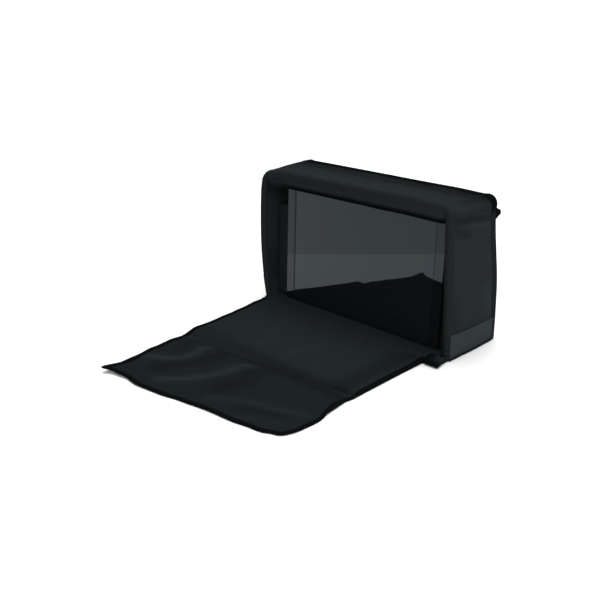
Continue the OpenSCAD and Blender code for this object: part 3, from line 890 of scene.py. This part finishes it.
def zip_half(part, sign, body):
    """One tape of the zip, outside or inside its middle line."""
    a0, a1 = sorted((sign * ZIP_SPLIT, sign * ZIP_TAPE_W))
    section = rounded_section(a0, a1, REAR_Y + 0.02, ZIP_TAPE_Y1, 0.2, 3, 1, 2)
    rings = []
    for x, z, nx, nz in zip_path(6.0):
        rings.append([settle(x + nx * a, y, z + nz * a) for a, y in section])
    keep(loft(part + "_zip_cloth", rings, zip_mat), body, "binding_tape", part + "_zip_tape")


def zip_row(part, sign, body):
    """A row of moulded teeth, each one a small tapered block."""
    verts, faces, uvs = [], [], []
    shift = 0.25 if sign > 0 else 0.75
    path = zip_path(TOOTH_PITCH)
    for (x, z, nx, nz), after in zip(path, path[1:]):
        x += (after[0] - x) * shift
        z += (after[1] - z) * shift
        tx, tz = -nz, nx
        first = len(verts)
        for y, half, a0, a1 in ((ZIP_TAPE_Y1 - 0.1, 0.62, 0.2, 2.2), (TEETH_Y1, 0.42, 0.35, 1.9)):
            for a, t in ((a0, -half), (a1, -half), (a1, half), (a0, half)):
                verts.append(settle(x + sign * nx * a + tx * t, y, z + sign * nz * a + tz * t))
        for ids in ((0, 1, 2, 3), (4, 5, 6, 7), (0, 1, 5, 4), (1, 2, 6, 5), (2, 3, 7, 6), (3, 0, 4, 7)):
            faces.append(tuple(first + i for i in ids))
            uvs.append([(0, 0), (1, 0), (1, 1), (0, 1)])
    teeth = build(part + "_zip_row", verts, faces, uvs, teeth_mat)
    keep(teeth, body, "zip_plastic", part + "_zip_teeth")


def tab(side, name):
    """A short loop of webbing, folded so that it tapers to its end."""
    x_mid = sum(span(name + "_zip_tab", 0)) / 2
    line = [(REAR_Y + 0.1, 1.1), (TAB_Y1 - 5, 1.1)]
    line += arc(TAB_Y1 - 1.7, 0.0, 1.2, 80, -80)
    line += [(TAB_Y1 - 5, -1.1), (REAR_Y + 0.1, -1.1)]
    middle = (TAB_Z0 + TAB_Z1) / 2
    rings = []
    for z in ramp(TAB_Z0, TAB_Z1, 2.0):
        ring = []
        for y, x in band(line, 1.0):
            out = ease(REAR_Y, TAB_Y1, y)
            high = middle + 3.5 + (z - middle) * (1.9 - 1.4 * out)
            ring.append(settle(x_mid + side * x, y + 2.5 * out, high))
        rings.append(ring)
    keep(loft(name + "_zip_webbing", rings, edge_mat), "case", "binding_tape", name + "_zip_tab")


for half in (("case", 1, "case"), ("rear", -1, "rear_panel")):
    zip_half(*half)
    zip_row(*half)

# Rear panel: a padded door in the rear opening, and the cloth hinge along its top
REAR_PUFF = 1.6
REAR_HINGE_Z = REAR_LEAF_Z1 - 1.2


def rear_rim(z, x):
    """Distance from the panel's nearest edge."""
    return min(REAR_X - abs(x), z - REAR_Z0, REAR_Z1 - z)


def rear_place(z, x, depth):
    rim = rear_rim(z, x)
    puff = REAR_PUFF * ease(11, 60, rim) + 0.6 * ripple(x, 0, z, 50, 4.4) * ease(10, 30, rim)
    return settle(x, REAR_Y - 0.1 - depth + puff * (1 - 1.2 * depth / 11), z)


def rear_slack(z, x, depth):
    return ease(14, 36, rear_rim(z, x)) * ease(3, 1, depth)


def rear_hinge():
    line = [(REAR_LEAF_Z0, REAR_Y + 0.6), (REAR_LEAF_Z1 - 6, REAR_Y + 0.7),
            (REAR_LEAF_Z1 - 3, REAR_Y + 1.3), (REAR_HINGE_Z, REAR_BEAD_Y - 0.9),
            (REAR_LEAF_Z1 + 1, REAR_Y + 1.3), (REAR_LEAF_Z1 + 4, REAR_Y + 0.7),
            (REAR_LEAF_Z1 + 7, REAR_Y + 0.6)]
    hinge = hinge_cloth("rear_hinge_cloth", line, (-REAR_LEAF_X, REAR_LEAF_X),
                        lambda x, z, y: settle(x, y, z), tape_mat)
    y, z = settle(0, REAR_Y, REAR_HINGE_Z)[1:]
    cross(hinge, ("case", "rear_panel"), (0, y, z + 3), (0, y, z - 3), "binding_tape", "rear_hinge_piping")


rear_pad = pillow("rear_pad", (REAR_Z0, REAR_Z1 - 0.4), (-REAR_X, REAR_X), (0.0, REAR_Y - REAR_IN_Y),
                  rear_place, shell_mat, r=2.5, end_r=2.0, step=6.0,
                  trim=lambda z: rounding(ZIP_CORNER_R, z - REAR_Z0), slack=rear_slack)
keep(rear_pad, "rear_panel", "shell_fabric", *layers("rear_panel"))
rear_hinge()

# Flap: a padded sheet with a stiff board, lying open on the floor
FLAP_W = FLAP_X1 - FLAP_X0
FLAP_MID = (FLAP_X0 + FLAP_X1) / 2
FREE_RISE = 46.2
FREE_SLOPE = FREE_RISE / FLAP_W
SEAM_TOP = 2.5
HINGE_Y = -73.5

# Sideways shift of the flap's left and right edge where it lies, by distance in front of the case's middle
LEFT_LAY = [(75, -17), (160, -4), (187, 0), (250, 6), (300, 3), (340, 2), (370, 6), (440, 22), (488, 19)]
RIGHT_LAY = [(75, -2), (150, -2), (230, -1), (262, 0), (300, -4), (360, 11), (425, 9), (480, 2)]

# Worn and shaded places of the padded part, as lines on the floor with a width and a strength
PAD_TONES = [([(-186, -268), (-20, -270), (190, -273)], 13.0, -0.16),
             ([(-190, -294), (-60, -284), (60, -276), (190, -266)], 11.0, -0.24),
             ([(-60, -193), (-33, -232)], 11.0, 0.12), ([(53, -180), (27, -232)], 12.0, 0.10),
             ([(178, -95), (178, -270)], 24.0, -0.30), ([(-165, -170), (-150, -240)], 45.0, -0.03),
             ([(-200, -78), (160, -78)], 26.0, 0.14)]


def flap_lay(x, y):
    """Sideways shift of the flap's cloth where it lies."""
    across = (FLAP_X1 - x) / FLAP_W
    return across * trace(LEFT_LAY, -y) + (1 - across) * trace(RIGHT_LAY, -y)


def seam_y(x):
    """The seam between the padded part and the tongue, at the free edge's slant."""
    return PAD_Y0 + (x - FLAP_MID) * FREE_SLOPE


def pad_point(x, y, z):
    """A point of the padded part, drawn out or in towards the slanted seam and shifted as the flap lies."""
    there = y + (seam_y(x) - PAD_Y0) * ease(-105, PAD_Y0 + 40, y)
    return x + flap_lay(x, there), there, z


def flap_height(x, y):
    """Height of the padded part's upper face: fuller on the left, and falling to the seam."""
    across = (FLAP_X1 - x) / FLAP_W
    rims = -5.0 * ease(16, 0, FLAP_X1 - x) - 2.0 * ease(30, 0, x - FLAP_X0)
    full = FLAP_T + (4.5 * across + rims) * ease(-84, -120, y)
    full += 0.6 * ripple(x, y, 0, 70, 7.7) + 0.2 * ripple(x, y, 0, 20, 2.9)
    return full + (SEAM_TOP - full) * ease(13 + 24 * across, 0, y - PAD_Y0)


def flap_place(x, y, z):
    return pad_point(x, y, 0.15 + (z / FLAP_T) * (flap_height(x, y) - 0.15))


def pad_tone(x, y, z):
    return stroked(PAD_TONES, *pad_point(x, y, z)[:2])


def pad_slack(x, y, z):
    """How free the padded part's cloth is to move: its upper face, away from the tapes and the seam."""
    rim = min(x - FLAP_X0 - EDGE_TAPE_W, FLAP_X1 - EDGE_TAPE_W - x, -90 - y, y - PAD_Y0)
    return ease(3, 26, rim) * ease(FLAP_T - 3, FLAP_T - 1, z)


def flap_side_tape(side, name):
    edge, wide = (FLAP_X0, LEFT_TAPE_W) if side < 0 else (FLAP_X1, EDGE_TAPE_W)
    inner = edge - side * wide
    rings = []
    for y in ramp(PAD_Y0 + 1, PAD_Y1 - 1, 5.0):
        rim = flap_height(edge - side * 1.5, y)
        line = [(inner, flap_height(inner, y) + 0.35), (edge - side * 4, rim + 0.55),
                (edge - side * 1.2, rim - 0.2), (edge + side * 0.1, rim - min(1.8, rim / 2)),
                (edge + side * 0.1, 0.5)]
        rings.append([pad_point(x, y, max(0.1, z)) for x, z in band(line, 0.7)])
    tape = loft(f"flap_{name}_tape", rings, edge_mat)
    keep(tape, "flap", "binding_tape", f"flap_{name}_binding")


def flap_hinge():
    """Cloth from the base lip over the hinge line to the padded part."""
    line = [(LEAF_Y0, FLAP_T - 0.1), (LEAF_Y0 + 6, FLAP_T + 0.5), (HINGE_Y - 2.0, FLAP_T + 0.9),
            (HINGE_Y, FLAP_T + 1.2), (HINGE_Y + 2.5, FLAP_T + 1.2), (HINGE_Y + 6.5, BASE_T + 0.15),
            (HINGE_Y + 11.5, BASE_T + 0.05)]

    def place(x, y, z):
        return x + flap_lay(x, y), y, z + 0.25 * ripple(x, 0, 0, 22, 9.1)

    hinge = hinge_cloth("flap_hinge_cloth", line, (LEAF_X0, LEAF_X1), place, flap_mat)
    cross(hinge, ("case", "flap"), (0, HINGE_Y + 3, 10), (0, HINGE_Y - 3, 10), "binding_tape",
          "flap_hinge_piping")


flap_pad = pillow("flap_pad", (FLAP_X0 + 0.6, FLAP_X1 - 0.6), (PAD_Y0, PAD_Y1), (0.0, FLAP_T), flap_place,
                  flap_mat, r=0.8, end_r=2.0, tone=pad_tone, slack=pad_slack)
keep(flap_pad, "flap", "lining_fabric", *layers("flap"), "flap_board")
flap_hinge()

# Soft tongue: one cloth from the padded part over the fold to the slanted free edge
FREE_LEFT_Y = TIP_Y + 0.4
LEFT_R = 7.0
RIGHT_R = 58.0
TIP_CURL = 6.0
TIP_POINT = 10.0
CLOTH_T = 0.7 * TONGUE_T
ROWS = 44
TONGUE_FOLD = (("flap", "tongue"), (0, FOLD_Y + 5, 3), (0, FOLD_Y - 5, 3))
FREE_WAVE = [(-200, 6), (-150, 4), (-100, -5), (-50, -4), (0, 1.5), (60, 5), (110, 4), (150, 7), (180, 4),
             (205, -9)]

# Soft folds, as curves on the floor with a height and a width
FOLDS = [(bent([(-117, -308), (-115, -346), (-122, -370), (-148, -392), (-166, -404)]), 6.0, 20.0),
         (bent([(3, -308), (-15, -340), (-28, -380), (-42, -413), (-70, -444)]), 6.0, 20.0),
         (bent([(190, -358), (120, -384), (73, -404), (40, -430)]), 5.0, 20.0),
         (bent([(185, -402), (120, -432)]), 2.5, 18.0)]

# Worn crests and shaded hollows of the tongue, as lines on the floor with a width and a strength
CREST_TONES = [(11.0, 0.66), (11.0, 0.66), (10.0, 0.36), (10.0, 0.20)]
TONGUE_TONES = [(fold[0], *crest) for fold, crest in zip(FOLDS, CREST_TONES)]
TONGUE_TONES += [([(-73, -312), (-83, -360), (-116, -416)], 19.0, -0.27),
                 ([(22, -316), (36, -350), (26, -392)], 26.0, -0.26),
                 ([(-165, -318), (-150, -345)], 18.0, -0.18), ([(170, -384), (110, -410)], 12.0, -0.20),
                 ([(-176, -292), (190, -279)], 11.0, -0.26)]


def edge_line(x):
    """The tongue's free edge without its corners: slanted and slightly waved."""
    return FREE_LEFT_Y + (x - FLAP_X0) * FREE_SLOPE + trace(FREE_WAVE, x)


def free_edge(x):
    """Place of the tongue's free edge, with its two rounded corners."""
    return edge_line(x) + rounding(LEFT_R, x - FLAP_X0) + rounding(RIGHT_R, FLAP_X1 - x)


def fold_lift(x, y):
    """Height of the soft folds that run out over the tongue."""
    lift = 0.0
    for points, high, wide in FOLDS:
        off, along = from_line(points, x, y)
        lift += high * (0.35 + 0.65 * hump(-0.25, 1.25, along)) * bell(off, wide)
    return lift


def closing_room(y):
    """How far the tongue may rise from the floor and still clear the case's top when the bag is closed."""
    if y > FOLD_Y:
        return 8.0 * ease(4, 40, y - FOLD_Y)
    behind = max(0.0, FOLD_Y - y - 12) / 132
    return 8.6 * behind ** 1.4


def tongue_height(x, y):
    """Height of the tongue's lower face above the floor."""
    rim = min(x - FLAP_X0, FLAP_X1 - x, y - free_edge(x))
    lift = fold_lift(x + flap_lay(x, y), y) * ease(-6, 24, rim)
    lift += 0.9 + 0.9 * ripple(x, y, 0, 75, 5.5) + 0.3 * ripple(x, y, 0, 24, 1.5)
    return min(max(0.1, lift), closing_room(y)) * ease(seam_y(x), seam_y(x) - 22, y)


def tongue_place(x, y, t):
    """A point of the tongue, t from its lower to its upper face, with the left tip curled up to a point."""
    curl = TIP_CURL * bell(x - FLAP_X0, 60) * bell(y - FREE_LEFT_Y, 45)
    point = TIP_POINT * bell(x - FLAP_X0, 13) * bell(y - FREE_LEFT_Y, 22)
    high = tongue_height(x, y) + curl + 0.3 * point + t * CLOTH_T
    return x + flap_lay(x, y) + 1.1 * curl - 0.2 * point, y - curl - point, high


def on_tongue(x, y, z):
    """A point at a height above the tongue's upper face, and above the floor."""
    low = tongue_place(x, y, 1.0)
    return low[0], low[1], max(0.15, low[2] + z)


def tongue_tone(x, y):
    return stroked(TONGUE_TONES, x + flap_lay(x, y), y)


def tongue_columns():
    """Places across the tongue, closer together at both rounded corners."""
    left = [point[0] for point in arc(FLAP_X0 + LEFT_R, 0, LEFT_R, 180, 90)]
    right = [point[0] for point in arc(FLAP_X1 - RIGHT_R, 0, RIGHT_R, 90, 0, 15)]
    return left[:-1] + ramp(FLAP_X0 + LEFT_R, FLAP_X1 - RIGHT_R, 5.0) + right[1:]


def tongue_cloth():
    rings, tones = [], []
    for x in tongue_columns():
        end = free_edge(x) + 0.3
        upper = [(end + (seam_y(x) + 0.6 - end) * k / ROWS, 1.0) for k in range(ROWS + 1)]
        both = upper + [(y, 0.0) for y, t in reversed(upper)]
        rings.append([tongue_place(x, y, t) for y, t in both])
        tones += [tongue_tone(x, y) for y, t in both]
    cloth = loft("soft_tongue", rings, tongue_mat, tones=tones)
    return cross(cloth, *TONGUE_FOLD, "lining_fabric", "flap_riser", "tongue_sheet")


def tongue_edge():
    """Tape along the tongue's three edges, wider on the left."""
    path = [(FLAP_X0, y) for y in ramp(seam_y(FLAP_X0) - 1, free_edge(FLAP_X0) + 0.5, 5.0)]
    path += [(x, free_edge(x)) for x in tongue_columns()[1:]]
    path += [(FLAP_X1, y) for y in ramp(free_edge(FLAP_X1), seam_y(FLAP_X1) - 1, 5.0)[1:]]
    rings = []
    for (x, y), (nx, ny) in zip(path, normals(path)):
        wide = EDGE_TAPE_W + (LEFT_TAPE_W - EDGE_TAPE_W) * max(0.0, nx)
        section = band([(wide, 0.35), (wide / 2, 0.35), (1.0, 0.3), (-0.25, -0.4), (-0.25, -1.8)], 0.6)
        rings.append([on_tongue(x + nx * a, y + ny * a, z) for a, z in section])
    tape = loft("tongue_edge_tape", rings, edge_mat)
    cross(tape, *TONGUE_FOLD, "binding_tape", "tongue_binding")


soft_tongue = tongue_cloth()
tongue_edge()

# Hook tape along the free edge
HOOK_INSET = 8.3
HOOK_W = 20.0
hook_tape = pillow("hook_tape", (HOOK_X0, HOOK_X1), (HOOK_INSET + 0.4, HOOK_INSET + HOOK_W),
                   (0.02, 0.2 * (HOOK_Z1 - TONGUE_T)),
                   lambda x, inset, z: on_tongue(x, edge_line(x) + inset, z), hook_mat,
                   tone=lambda x, inset, z: tongue_tone(x, edge_line(x) + inset))
keep(hook_tape, "tongue", "hook_and_loop", "hook_strip")

# Pieces that both sides have
for side, name in ((-1, "left"), (1, "right")):
    for piece in (wall, scuff, block, tab, flap_side_tape):
        piece(side, name)

fill_pads()

# Camera, fitted to the photo
CAMERA_PLACE = (1.00054, -1.11822, 0.62510)
CAMERA_TURN = (46.88, 21.32, -1.73)
LENS = 49.242
SENSOR = 36.0
camera = put("camera", bpy.data.cameras.new("camera"))
camera.data.sensor_width = SENSOR
camera.data.lens = LENS
camera.data.clip_end = 50.0
azimuth, elevation, roll = (math.radians(a) for a in CAMERA_TURN)
turn = Matrix.Rotation(azimuth, 4, "Z") @ Matrix.Rotation(math.pi / 2 - elevation, 4, "X")
camera.matrix_world = Matrix.Translation(CAMERA_PLACE) @ turn @ Matrix.Rotation(roll, 4, "Z")
scene.camera = camera

# Floor of white paper, whose slanted edge the pane mirrors
FLOOR_Z = -0.0006
FLOOR_CORNERS = [(-2.24, 3.21), (1.68, -4.89), (5.0, -4.89), (5.0, 5.0), (-2.24, 5.0)]
floor_mesh = bpy.data.meshes.new("floor")
floor_mesh.from_pydata([(x, y, FLOOR_Z) for x, y in FLOOR_CORNERS], [], [(0, 1, 2, 3, 4)])
floor = put("floor", floor_mesh)
paper = Shader(bpy.data.materials.new("white_paper"))
WHITE = {"Base Color": (0.96, 0.96, 0.96, 1.0), "Roughness": 0.9, "Specular IOR Level": 0.0}
floor_mesh.materials.append(paper.finish(WHITE))

# World: white where it is seen, mirrored or looked through, and a soft ambient light elsewhere
AMBIENT = 0.30
scene.world = bpy.data.worlds.new("white_room")
room = Shader(scene.world, "Background")
rays = room.node("LightPath").outputs
seen = rays["Is Camera Ray"]
for kind in ("Is Glossy Ray", "Is Transmission Ray"):
    seen = room.math("MAXIMUM", seen, rays[kind])
strength = room.math("MULTIPLY_ADD", seen, 1.0 - AMBIENT, AMBIENT)
room.finish({"Color": (1.0, 1.0, 1.0, 1.0), "Strength": strength})

# Wide soft lights from far away, so that the floor is lit evenly
for name, towards, angle, power in (("overhead", (-0.05, 0.1, 1.0), 40.0, 2.0),
                                    ("back_left", (-0.35, 0.35, 0.87), 40.0, 0.5),
                                    ("right_key", (0.85, 0.1, 0.5), 60.0, 1.2),
                                    ("front_fill", (0.35, -0.85, 0.4), 60.0, 0.95)):
    sun = bpy.data.lights.new(name, "SUN")
    sun.angle = math.radians(angle)
    sun.energy = power
    sun.specular_factor = 0.3
    lamp = put(name, sun)
    lamp.location = Vector(towards) * 3
    lamp.rotation_euler = (-Vector(towards)).to_track_quat("-Z", "Y").to_euler()

scene.view_settings.view_transform = "Standard"
